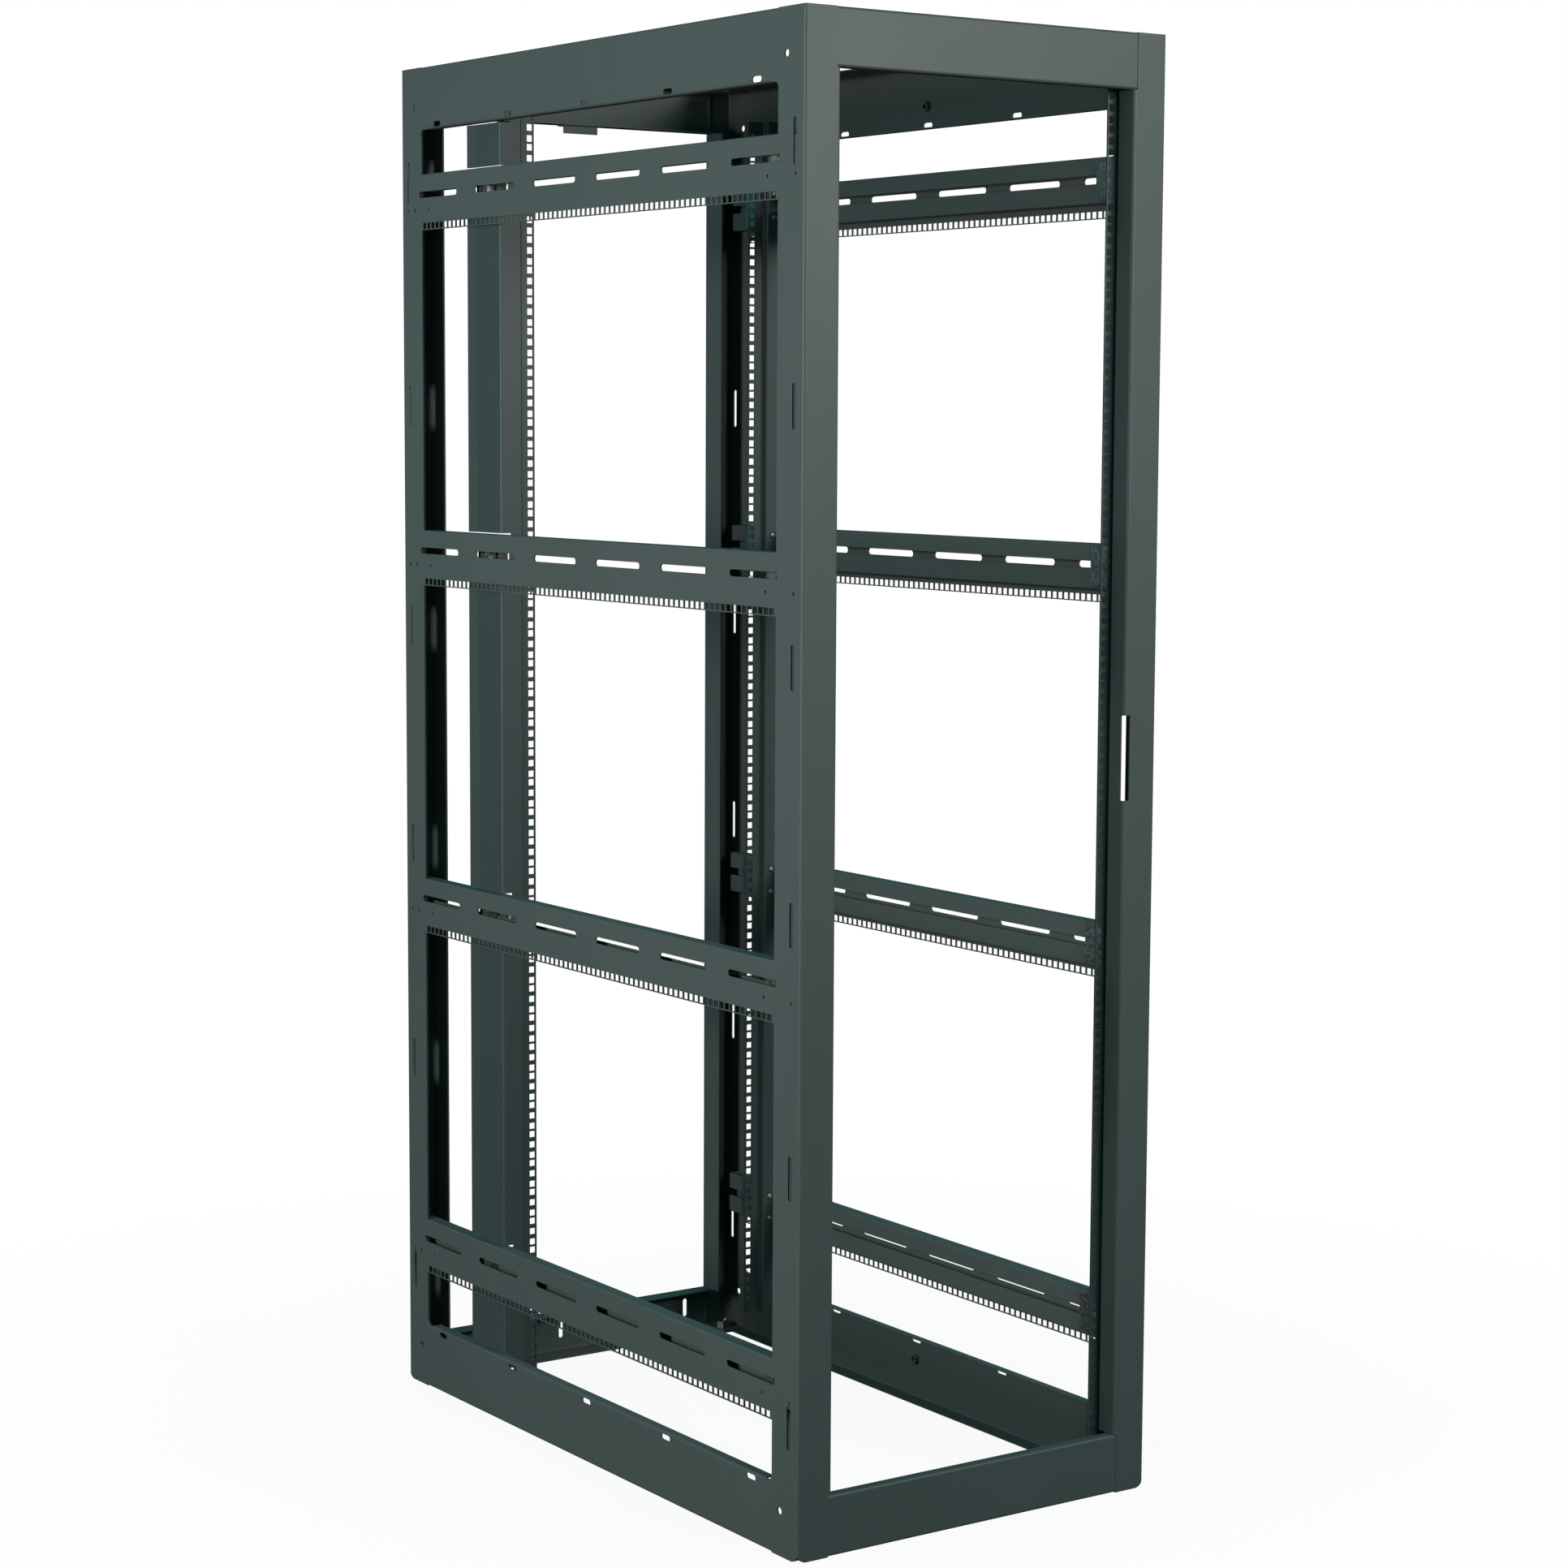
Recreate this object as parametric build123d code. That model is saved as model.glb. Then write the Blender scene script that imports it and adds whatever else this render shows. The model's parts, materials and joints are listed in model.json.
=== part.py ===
from build123d import *
import os

# Open four-post frame of a network server rack cabinet, 42 rack units high.
# Every shape is first drawn in corner coordinates: x from the left side, y from the front,
# z from the floor.  place() then moves it so that the origin is the bottom centre.

# ---- Driving dimensions, in millimetres --------------------------------------------------
WIDTH = 596.9
DEPTH = 1066.8
HEIGHT = 2022.5
SHEET = 2.0                  # frame sheet
BEND = 3.0                   # centreline radius of the frame's bends
RACK_UNIT = 44.45
UNITS = 42
FIRST_UNIT_Z = 79.0          # lower edge of the lowest rack unit
FOOT_RADIUS = 15.0           # rounding of the frame's four lowest corners

# Corner posts
POST_SIDE = 60.0             # width of a post on the side of the cabinet
FRONT_FACE = 55.5
FRONT_RETURN = 32.0
REAR_FACE = 46.5
REAR_RETURN = 48.0
POST_SLOT_Y = 21.5
POST_SLOT_LENGTH = 60.0
POST_SLOT_WIDTH = 8.0
POST_SLOT_FIRST_Z = 178.5
POST_SLOT_PITCH = 335.0
POST_SLOT_COUNT = 6
LATCH_SLOT_BOTTOM = 981.0
LATCH_SLOT_TOP = 1099.0
LATCH_SLOT_X = (45.5, 57.0)
LATCH_SLOT_DEPTH = 8.0

# Bolt holes that join one cabinet to the next
BAYING_HOLE = 10.0
BAYING_Y = 41.4
BAYING_Z = (61.5, 1964.0)

# Side rails, above and below the side opening
SIDE_TOP_EDGE = 1930.0
SIDE_BOTTOM_EDGE = 98.5
SIDE_FLANGE = 15.0
BOTTOM_SIDE_FLANGE = 27.0
TOP_SIDE_FLANGE = 70.0
WINDOW_RADIUS = 8.0
OVAL_LENGTH = 22.0
OVAL_HEIGHT = 8.0
OVAL_PITCH = 212.0
OVAL_COUNT = 5
TOP_OVAL_Z = 1936.5
BOTTOM_OVAL_Z = 90.5
SIDE_NUT_FLATS = 13.0
SIDE_NUT = 6.5
SIDE_NUT_HOLE = 8.0

# Front and rear rails
FRONT_TOP_EDGE = 1946.5
FRONT_BOTTOM_EDGE = 84.0
REAR_TOP_EDGE = 1954.5
REAR_BOTTOM_EDGE = 68.0
FRONT_FLANGE = 15.0
REAR_FLANGE = 30.0
BASE_FLANGE = 46.0
RAIL_RECESS = 0.8            # the rails' faces sit this far behind the posts' faces
SEAM = 0.2
SEAM_OVERLAP = 5.5           # a rail covers the rounded inner edge of the post
REAR_SLOT_X = (275.0, 514.0)
REAR_SLOT_Z = 36.5
REAR_SLOT_SIZE = (30.0, 8.0)

# Side braces, slotted channels with a perforated lacing strip below
BRACE_ROW_Z = (233.8, 767.2, 1300.6, 1834.0)
BRACE_ABOVE_ROW = 30.5
BRACE_HEIGHT = 64.0
BRACE_DEPTH = 22.0
BRACE_GAP = 12.0             # between the channel's lips
BRACE_SLOT_LENGTH = 115.0
BRACE_SLOT_HEIGHT = 9.5
BRACE_SLOT_PITCH = 169.0
BRACE_SLOT_COUNT = 6
BRACE_TUCK = 20.0            # length of channel behind a post
LACING_PITCH = 12.7
LACING_HOLE = 10.2
LACING_TOP = 72.5            # below the brace's top edge
LACING_BOTTOM = 81.7
LACING_EDGE = 83.2
END_PLATE_Y = (8.0, 100.0)
END_PLATE_Z = (-30.0, 28.0)
END_PLATE = 3.0
MARK_HOLE = 5.0
MARK_DROP = 22.0             # small holes, below the slot row
POST_MARK_Y = 20.0
BRACE_MARK_Y = 83.7
REAR_MARK_HOLE = 7.0

# Rack rails
RAIL_SHEET = 2.0
RAIL_BEND = 2.4
RAIL_BOTTOM = 62.0
RAIL_TOP = 1963.0
RAIL_CLEAR_OPENING = 450.85
HOLE_SPREAD = 465.1          # between the left and right hole columns
HOLE_SIZE = 9.5
HOLE_HEIGHTS = (6.35, 22.225, 38.1)
FRONT_RAIL_Y = 34.0
FRONT_STRIP_X = 34.0         # outer edge of a front rail's flat strip
FRONT_WEB = 46.0
REAR_LEFT_RAIL_Y = 797.0
REAR_RIGHT_RAIL_Y = 902.0
REAR_STRIP_X = 44.0          # outer edge of a rear rail's strip, where it steps forward
REAR_STEP = 12.0
REAR_OUTER_X = 9.0
REAR_LIP_X = 5.0
REAR_WEB_END = 57.0
REAR_DEPTH = 78.0
NOTCH_X = 26.0
NOTCH_CLEARANCE = 2.0

# Rail clamps: bracket, channel nut, bolt and screws
BRACKET = 3.0
BRACKET_GAP = 0.4
BRACKET_HALF_HEIGHT = 28.0
BRACKET_LENGTH = 80.0
FRONT_BRACKET_END_X = 50.0
REAR_BRACKET_END_X = 41.0
CLAMP_Y = 38.0
BOLT_RADIUS = 4.0
BOLT_HEAD = 5.3
BOLT_FLATS = 13.0
WASHER_RADIUS = 8.0
WASHER = 1.6
NUT_X = (8.0, 19.6)
NUT_HALF_LENGTH = 15.0
NUT_HALF_HEIGHT = 16.0
FIT = 0.1
FRONT_SCREW_X = 42.0
REAR_SCREW_X = 33.0
SCREW_SPREAD = 18.0
SCREW_RADIUS = 2.5
SCREW_HEAD_RADIUS = 4.6
SCREW_HEAD = 2.8
SCREW_NUT_FLATS = 8.0
SCREW_NUT = 4.0
SCREW_END = 2.0              # length of thread beyond the nut

# Corner plates and the strike of the rear door latch
PLATE = 3.0
PLATE_HOLE = 12.0
PLATE_HOLE_X = 27.0
PLATE_HOLE_Y = 32.0
WELD_NUT_FLATS = 19.0
WELD_NUT = 10.0
STRIKE_WIDTH = 61.0
STRIKE_DROP = 12.5
STRIKE_LEG = 18.0

BRACE_Y = (POST_SIDE, DEPTH - POST_SIDE)
MID_Y = DEPTH / 2


# ---- Helpers -----------------------------------------------------------------------------
def block(x, y, z):
    """A box between pairs of limits."""
    solid = Box(x[1] - x[0], y[1] - y[0], z[1] - z[0])
    centre = ((x[0] + x[1]) / 2, (y[0] + y[1]) / 2, (z[0] + z[1]) / 2)
    return Pos(*centre) * solid


def folded(points, radius, thickness, plane, length):
    """Sheet metal: a folded centreline on a plane, drawn out along the plane's normal."""
    section = trace(FilletPolyline(*points, radius=radius), line_width=thickness)
    return extrude(plane * section, amount=length, dir=plane.z_dir)


def along_y(points, radius, thickness, y):
    """Sheet folded in the x-z plane, running between two y values."""
    plane = Plane(origin=(0, y[0], 0), x_dir=(-1, 0, 0), z_dir=(0, 1, 0))
    flipped = [(-px, pz) for px, pz in points]
    return folded(flipped, radius, thickness, plane, y[1] - y[0])


def along_x(points, radius, thickness, x):
    """Sheet folded in the y-z plane, running between two x values."""
    plane = Plane(origin=(x[0], 0, 0), x_dir=(0, 1, 0), z_dir=(1, 0, 0))
    return folded(points, radius, thickness, plane, x[1] - x[0])


def along_z(points, radius, thickness, z):
    """Sheet folded in the x-y plane, running between two heights."""
    plane = Plane(origin=(0, 0, z[0]), x_dir=(1, 0, 0), z_dir=(0, 0, 1))
    return folded(points, radius, thickness, plane, z[1] - z[0])


def slot_cut(length, height, x, y, z, upright=False):
    """A round-ended slot through a side wall, between two x values."""
    turn = 90 if upright else 0
    plane = Plane(origin=(x[0], y, z), x_dir=(0, 1, 0), z_dir=(1, 0, 0))
    shape = plane * Rot(0, 0, turn) * SlotOverall(length, height)
    return extrude(shape, amount=x[1] - x[0], dir=(1, 0, 0))


def round_x(radius, x, y, z):
    """A cylinder along x."""
    return Pos((x[0] + x[1]) / 2, y, z) * Rot(0, 90, 0) * Cylinder(radius, x[1] - x[0])


def round_y(radius, x, y, z):
    """A cylinder along y."""
    return Pos(x, (y[0] + y[1]) / 2, z) * Rot(90, 0, 0) * Cylinder(radius, y[1] - y[0])


def round_z(radius, x, y, z):
    """An upright cylinder."""
    return Pos(x, y, (z[0] + z[1]) / 2) * Cylinder(radius, z[1] - z[0])


def hexagon(flats, height):
    return extrude(RegularPolygon(flats / 2, 6, major_radius=False), amount=height)


def rear_of(shape):
    """The same piece at the back of the cabinet."""
    return mirror(shape, about=Plane(origin=(0, MID_Y, 0), z_dir=(0, 1, 0)))


def right_of(shape):
    """The same piece on the right side of the cabinet."""
    return mirror(shape, about=Plane(origin=(WIDTH / 2, 0, 0), z_dir=(1, 0, 0)))


def upper_of(shape):
    """The same piece at the top of the cabinet."""
    return mirror(shape, about=Plane(origin=(0, 0, HEIGHT / 2), z_dir=(0, 0, 1)))


def place(shapes):
    """Moves shapes from corner coordinates to the part's frame, as separate solids."""
    solids = []
    for shape in shapes:
        solids.extend(shape.solids())
    moved = [Pos(-WIDTH / 2, -MID_Y, 0) * solid for solid in solids]
    return moved[0] if len(moved) == 1 else Compound(children=moved)


def save(name, shapes):
    export_step(place(shapes), f"parts/{name}.step")


# ---- Frame -------------------------------------------------------------------------------
def corner_region(radius):
    """What a rounded corner takes away from a square one."""
    square = Pos(radius / 2, radius / 2) * Rectangle(radius, radius)
    return square - Pos(radius, radius) * Circle(radius)


def foot_cut():
    """Rounds the lowest corner of the front left post on both of its faces."""
    region = corner_region(FOOT_RADIUS)
    front = Plane(origin=(0, 0, 0), x_dir=(1, 0, 0), z_dir=(0, -1, 0))
    side = Plane(origin=(0, 0, 0), x_dir=(0, 1, 0), z_dir=(1, 0, 0))
    from_front = extrude(front * region, amount=POST_SIDE, dir=(0, 1, 0))
    from_side = extrude(side * region, amount=POST_SIDE, dir=(1, 0, 0))
    return from_front & from_side


def brace_slot_cuts(x):
    cuts = []
    for row in BRACE_ROW_Z:
        for index in range(BRACE_SLOT_COUNT):
            y = MID_Y + (index - (BRACE_SLOT_COUNT - 1) / 2) * BRACE_SLOT_PITCH
            cuts.append(slot_cut(BRACE_SLOT_LENGTH, BRACE_SLOT_HEIGHT, x, y, row))
    return cuts


def post(face, return_depth, rail_edges):
    """Left post: side face, front or rear face, and the return beside the opening."""
    half = SHEET / 2
    points = [(half, POST_SIDE), (half, half), (face - half, half), (face - half, return_depth)]
    body = along_z(points, BEND, SHEET, (0, HEIGHT))
    cuts = [foot_cut()]
    rail_zone = (face - SEAM_OVERLAP, face + 1)
    cuts.append(block(rail_zone, (-1, return_depth + 1), (-1, rail_edges[0])))
    cuts.append(block(rail_zone, (-1, return_depth + 1), (rail_edges[1], HEIGHT + 1)))
    wall = (-1, SHEET + 1)
    for index in range(POST_SLOT_COUNT):
        z = POST_SLOT_FIRST_Z + index * POST_SLOT_PITCH
        cuts.append(slot_cut(POST_SLOT_LENGTH, POST_SLOT_WIDTH, wall, POST_SLOT_Y, z, True))
    for z in BAYING_Z:
        cuts.append(round_x(BAYING_HOLE / 2, wall, BAYING_Y, z))
    for row in BRACE_ROW_Z:
        cuts.append(round_x(MARK_HOLE / 2, wall, POST_MARK_Y, row - MARK_DROP))
    return body - cuts - brace_slot_cuts(wall)


def front_post():
    return post(FRONT_FACE, FRONT_RETURN, (FRONT_BOTTOM_EDGE, FRONT_TOP_EDGE))


def rear_post():
    drilled = post(REAR_FACE, REAR_RETURN, (REAR_BOTTOM_EDGE, REAR_TOP_EDGE))
    for row in BRACE_ROW_Z:
        drilled -= round_x(REAR_MARK_HOLE / 2, (-1, SHEET + 1), BAYING_Y, row - MARK_DROP)
    return rear_of(drilled)


def latch_slot():
    return block(LATCH_SLOT_X, (-1, LATCH_SLOT_DEPTH), (LATCH_SLOT_BOTTOM, LATCH_SLOT_TOP))


def window_corners(edge_z, sign):
    """Rounded fillers where the side rail's edge meets the two posts."""
    fillers = []
    for y, step in ((BRACE_Y[0], 1), (BRACE_Y[1], -1)):
        plane = Plane(origin=(0, y, edge_z), x_dir=(0, step, 0), z_dir=(step * sign, 0, 0))
        shape = plane * corner_region(WINDOW_RADIUS)
        fillers.append(extrude(shape, amount=SHEET, dir=(1, 0, 0)))
        ends = sorted((y, y + step * WINDOW_RADIUS * 2))
        heights = sorted((edge_z, edge_z - sign * WINDOW_RADIUS))
        fillers.append(block((0, SHEET), ends, heights))
    return fillers


def side_rail(edge_z, outer_z, sign, oval_z, outer_flange):
    """Rail above or below the side opening.  sign points from the rail into the opening."""
    half = SHEET / 2
    inner = edge_z - sign * half
    outer = outer_z + sign * half
    points = [(SIDE_FLANGE, inner), (half, inner), (half, outer), (outer_flange, outer)]
    rail = along_y(points, BEND, SHEET, BRACE_Y)
    flange_z = sorted((edge_z, edge_z - sign * (SHEET + BEND)))
    for y in BRACE_Y:
        ends = (y - WINDOW_RADIUS * 2, y + WINDOW_RADIUS * 2)
        rail -= block((SHEET, SIDE_FLANGE + 1), ends, flange_z)
    rail += window_corners(edge_z, sign)
    cuts = []
    for index in range(OVAL_COUNT):
        y = MID_Y + (index - (OVAL_COUNT - 1) / 2) * OVAL_PITCH
        cuts.append(slot_cut(OVAL_LENGTH, OVAL_HEIGHT, (-1, BEND + SHEET), y, oval_z))
    return rail - cuts


def cross_rail(edge, flange, face):
    """Lower rail between two posts, below the front or rear opening."""
    near = RAIL_RECESS + SHEET / 2
    half = SHEET / 2
    points = [(flange, edge - half), (near, edge - half), (near, half), (BASE_FLANGE, half)]
    ends = (face - SEAM_OVERLAP + SEAM, WIDTH - face + SEAM_OVERLAP - SEAM)
    return along_x(points, BEND, SHEET, ends)


def rear_bottom_rail():
    rail = rear_of(cross_rail(REAR_BOTTOM_EDGE, REAR_FLANGE, REAR_FACE))
    length, width = REAR_SLOT_SIZE
    for x in REAR_SLOT_X:
        shape = Plane(origin=(x, DEPTH + 1, REAR_SLOT_Z), x_dir=(0, 0, 1), z_dir=(0, 1, 0))
        rail -= extrude(shape * SlotOverall(length, width), amount=SHEET + 3, dir=(0, -1, 0))
    return rail


def brace(row):
    """Side brace: web flush with the posts, lipped channel behind it, lacing strip below."""
    top = row + BRACE_ABOVE_ROW
    half = SHEET / 2
    lip_x = BRACE_DEPTH - half
    upper = [(half, top - LACING_EDGE), (half, top - half), (lip_x, top - half),
             (lip_x, row + BRACE_GAP / 2)]
    low = top - BRACE_HEIGHT + half
    lower = [(half, low), (lip_x, low), (lip_x, row - BRACE_GAP / 2)]
    y = (BRACE_Y[0] - BRACE_TUCK, BRACE_Y[1] + BRACE_TUCK)
    body = along_y(upper, half + 0.6, SHEET, y) + along_y(lower, half + 0.6, SHEET, y)
    beside_posts = (-1, SHEET)
    full = (top - LACING_EDGE - 1, top + 1)
    strip = (top - LACING_EDGE - 1, top - BRACE_HEIGHT)
    cuts = []
    for end in (y[0] - 1, BRACE_Y[1]):
        cuts.append(block(beside_posts, (end, end + BRACE_TUCK + 1), full))
        cuts.append(block((-1, BRACE_DEPTH), (end, end + BRACE_TUCK + 1), strip))
    count = int((BRACE_Y[1] - BRACE_Y[0]) // LACING_PITCH)
    for index in range(count):
        centre = MID_Y + (index - (count - 1) / 2) * LACING_PITCH
        hole_y = (centre - LACING_HOLE / 2, centre + LACING_HOLE / 2)
        cuts.append(block(beside_posts, hole_y, (top - LACING_BOTTOM, top - LACING_TOP)))
    for end_y in (BRACE_MARK_Y, DEPTH - BRACE_MARK_Y):
        cuts.append(round_x(MARK_HOLE / 2, (-1, SHEET + 1), end_y, row - MARK_DROP))
    for index in range(BRACE_SLOT_COUNT):
        centre = MID_Y + (index - (BRACE_SLOT_COUNT - 1) / 2) * BRACE_SLOT_PITCH
        cuts.append(slot_cut(BRACE_SLOT_LENGTH, BRACE_SLOT_HEIGHT, (-1, SHEET + 1), centre, row))
    return body - cuts


def side_rail_nut(z):
    """Nut welded to the inside of a side rail, at the middle of the cabinet's depth."""
    nut = Pos(SHEET, MID_Y, z) * Rot(0, 90, 0) * hexagon(SIDE_NUT_FLATS, SIDE_NUT)
    return nut - round_x(SIDE_NUT_HOLE / 2, (SHEET - 1, SHEET + SIDE_NUT + 1), MID_Y, z)


def brace_end_plates():
    """Plates that tie the ends of the left braces to the posts, seen through the slots."""
    plates = []
    for row in BRACE_ROW_Z:
        z = (row + END_PLATE_Z[0], row + END_PLATE_Z[1])
        plate = block((SHEET, SHEET + END_PLATE), END_PLATE_Y, z)
        plate -= slot_cut(BRACE_SLOT_LENGTH, BRACE_SLOT_HEIGHT + 4, (0, 10),
                          MID_Y - BRACE_SLOT_PITCH * (BRACE_SLOT_COUNT - 1) / 2, row)
        plates.append(plate)
        plates.append(rear_of(plate))
    return plates


def bottom_corner_plate():
    """Plate that closes the foot of the front left post, with a hole for a foot or anchor."""
    plate = block((SHEET, FRONT_FACE - SEAM_OVERLAP), (SHEET, POST_SIDE), (0, PLATE))
    plate -= foot_cut()
    plate -= round_z(BEND, SHEET, SHEET, (-1, PLATE + 1))
    return plate - round_z(PLATE_HOLE / 2, PLATE_HOLE_X, PLATE_HOLE_Y, (-1, PLATE + 1))


def rear_bottom_corner_plate():
    plate = block((SHEET, REAR_FACE - SEAM_OVERLAP), (SHEET, POST_SIDE), (0, PLATE))
    plate -= foot_cut()
    plate -= round_z(BEND, SHEET, SHEET, (-1, PLATE + 1))
    plate -= round_z(PLATE_HOLE / 2, PLATE_HOLE_X, PLATE_HOLE_Y, (-1, PLATE + 1))
    return rear_of(plate)


def top_corner_plate():
    plate = block((SHEET, FRONT_FACE - SEAM_OVERLAP), (SHEET, POST_SIDE), (HEIGHT - PLATE, HEIGHT))
    plate -= round_z(BEND, SHEET, SHEET, (HEIGHT - PLATE - 1, HEIGHT + 1))
    z = (HEIGHT - PLATE - 1, HEIGHT + 1)
    return plate - round_z(PLATE_HOLE / 2, PLATE_HOLE_X, PLATE_HOLE_Y, z)


def rear_top_corner_plate():
    z = (HEIGHT - PLATE, HEIGHT)
    plate = block((SHEET, REAR_FACE - SEAM_OVERLAP), (SHEET, POST_SIDE), z)
    plate -= round_z(BEND, SHEET, SHEET, (z[0] - 1, z[1] + 1))
    plate -= round_z(PLATE_HOLE / 2, PLATE_HOLE_X, PLATE_HOLE_Y, (z[0] - 1, z[1] + 1))
    return rear_of(plate)


def weld_nut():
    nut = Pos(PLATE_HOLE_X, PLATE_HOLE_Y, PLATE) * hexagon(WELD_NUT_FLATS, WELD_NUT)
    return nut - round_z(PLATE_HOLE / 2, PLATE_HOLE_X, PLATE_HOLE_Y, (0, PLATE + WELD_NUT + 1))


def latch_strike():
    """Small angle under the rear top rail's flange, in the middle of the opening."""
    inner = DEPTH - REAR_FLANGE + SHEET / 2
    shelf = REAR_TOP_EDGE - SHEET / 2
    points = [(inner, shelf - STRIKE_DROP), (inner, shelf), (inner + STRIKE_LEG, shelf)]
    x = (WIDTH / 2 - STRIKE_WIDTH / 2, WIDTH / 2 + STRIKE_WIDTH / 2)
    return along_x(points, BEND, SHEET, x)


# ---- Rack rails and their clamps -----------------------------------------------------------
def square_holes(face_y):
    """Square holes of the left column, three to a rack unit."""
    hole_x = (WIDTH - HOLE_SPREAD) / 2
    x = (hole_x - HOLE_SIZE / 2, hole_x + HOLE_SIZE / 2)
    y = (face_y - 1, face_y + RAIL_SHEET + 1)
    holes = []
    for unit in range(UNITS):
        for height in HOLE_HEIGHTS:
            z = FIRST_UNIT_Z + unit * RACK_UNIT + height
            holes.append(block(x, y, (z - HOLE_SIZE / 2, z + HOLE_SIZE / 2)))
    return holes


def screw_holes(x, y):
    """Clearance holes for the bracket screws at every brace."""
    holes = []
    for row in BRACE_ROW_Z:
        for side in (-1, 1):
            holes.append(round_y(SCREW_RADIUS + FIT, x, y, row + side * SCREW_SPREAD))
    return holes


def front_rail(face_y):
    """Left front rail: an angle whose flat strip carries the holes; its web runs rearward."""
    half = RAIL_SHEET / 2
    inner_x = (WIDTH - RAIL_CLEAR_OPENING) / 2
    web_x = FRONT_STRIP_X + half
    points = [(inner_x, face_y + half), (web_x, face_y + half), (web_x, face_y + FRONT_WEB)]
    rail = along_z(points, RAIL_BEND, RAIL_SHEET, (RAIL_BOTTOM, RAIL_TOP))
    cuts = square_holes(face_y) + screw_holes(FRONT_SCREW_X, (face_y - 1, face_y + 5))
    for row in BRACE_ROW_Z:
        reach = BRACKET_HALF_HEIGHT + NOTCH_CLEARANCE
        x = (FRONT_STRIP_X - 1, FRONT_STRIP_X + RAIL_SHEET + RAIL_BEND)
        cuts.append(block(x, (face_y + RAIL_SHEET, face_y + FRONT_WEB + 1), (row - reach, row + reach)))
    return rail - cuts


def rear_rail(face_y):
    """Left rear rail: strip, step forward, flange, web along the side and a flared lip."""
    half = RAIL_SHEET / 2
    inner_x = (WIDTH - RAIL_CLEAR_OPENING) / 2
    flange_y = face_y + half - REAR_STEP
    points = [
        (inner_x, face_y + half),
        (REAR_STRIP_X + half, face_y + half),
        (REAR_STRIP_X + half, flange_y),
        (REAR_OUTER_X + half, flange_y),
        (REAR_OUTER_X + half, face_y + REAR_WEB_END),
        (REAR_LIP_X + half, face_y + REAR_DEPTH),
    ]
    rail = along_z(points, RAIL_BEND, RAIL_SHEET, (RAIL_BOTTOM, RAIL_TOP))
    y = (face_y - 20, face_y + REAR_DEPTH + 20)
    outer = (-1, NOTCH_X)
    cuts = square_holes(face_y) + screw_holes(REAR_SCREW_X, (face_y - 20, face_y - 1))
    cuts.append(block(outer, y, (0, SIDE_BOTTOM_EDGE + NOTCH_CLEARANCE)))
    cuts.append(block(outer, y, (SIDE_TOP_EDGE - NOTCH_CLEARANCE, HEIGHT)))
    for row in BRACE_ROW_Z:
        top = row + BRACE_ABOVE_ROW
        z = (top - BRACE_HEIGHT - NOTCH_CLEARANCE, top + NOTCH_CLEARANCE)
        cuts.append(block(outer, y, z))
    return rail - cuts


def rail_bracket(face_y, row, flange_back, end_x, screw_x):
    """Angle between the back of the rail's flange and the lips of the brace."""
    half = BRACKET / 2
    leg_x = BRACE_DEPTH + BRACKET_GAP + half
    leg_y = flange_back + half
    points = [(leg_x, face_y + BRACKET_LENGTH), (leg_x, leg_y), (end_x, leg_y)]
    z = (row - BRACKET_HALF_HEIGHT, row + BRACKET_HALF_HEIGHT)
    angle = along_z(points, BEND, BRACKET, z)
    cuts = [round_x(BOLT_RADIUS + FIT, (BRACE_DEPTH, 30), face_y + CLAMP_Y, row)]
    for side in (-1, 1):
        hole = (screw_x, (flange_back - 1, flange_back + BRACKET + 1), row + side * SCREW_SPREAD)
        cuts.append(round_y(SCREW_RADIUS + FIT, *hole))
    return angle - cuts


def clamp_bolt(face_y, row):
    """Hexagon bolt with its washer, from the inside of the cabinet into the channel nut."""
    y = face_y + CLAMP_Y
    seat = BRACE_DEPTH + BRACKET_GAP + BRACKET
    shank = round_x(BOLT_RADIUS, (NUT_X[0], seat + WASHER), y, row)
    washer = round_x(WASHER_RADIUS, (seat, seat + WASHER), y, row)
    head = Pos(seat + WASHER, y, row) * Rot(0, 90, 0) * hexagon(BOLT_FLATS, BOLT_HEAD)
    return shank + washer + head


def channel_nut(face_y, row):
    """Bar nut behind the lips of the brace."""
    y = face_y + CLAMP_Y
    lengths = (y - NUT_HALF_LENGTH, y + NUT_HALF_LENGTH)
    heights = (row - NUT_HALF_HEIGHT, row + NUT_HALF_HEIGHT)
    return block(NUT_X, lengths, heights) - round_x(BOLT_RADIUS + FIT, (0, 30), y, row)


def bracket_screws(row, flange_back, screw_x):
    """Two pan-head screws and their nuts, through the rail's flange and the bracket."""
    front = flange_back - RAIL_SHEET
    back = flange_back + BRACKET
    screws = []
    for side in (-1, 1):
        z = row + side * SCREW_SPREAD
        head = round_y(SCREW_HEAD_RADIUS, screw_x, (front - SCREW_HEAD, front), z)
        rim = head.edges().filter_by(GeomType.CIRCLE).sort_by(Axis.Y)[0]
        head = fillet(rim, SCREW_HEAD * 0.6)
        shank = round_y(SCREW_RADIUS, screw_x, (front, back + SCREW_NUT + SCREW_END), z)
        nut = Pos(screw_x, back, z) * Rot(-90, 0, 0) * hexagon(SCREW_NUT_FLATS, SCREW_NUT)
        screws.append(head + shank + nut)
    return screws


RAILS = {
    "front_left": (FRONT_RAIL_Y, False),
    "front_right": (FRONT_RAIL_Y, True),
    "rear_left": (REAR_LEFT_RAIL_Y, False),
    "rear_right": (REAR_RIGHT_RAIL_Y, True),
}


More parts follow.
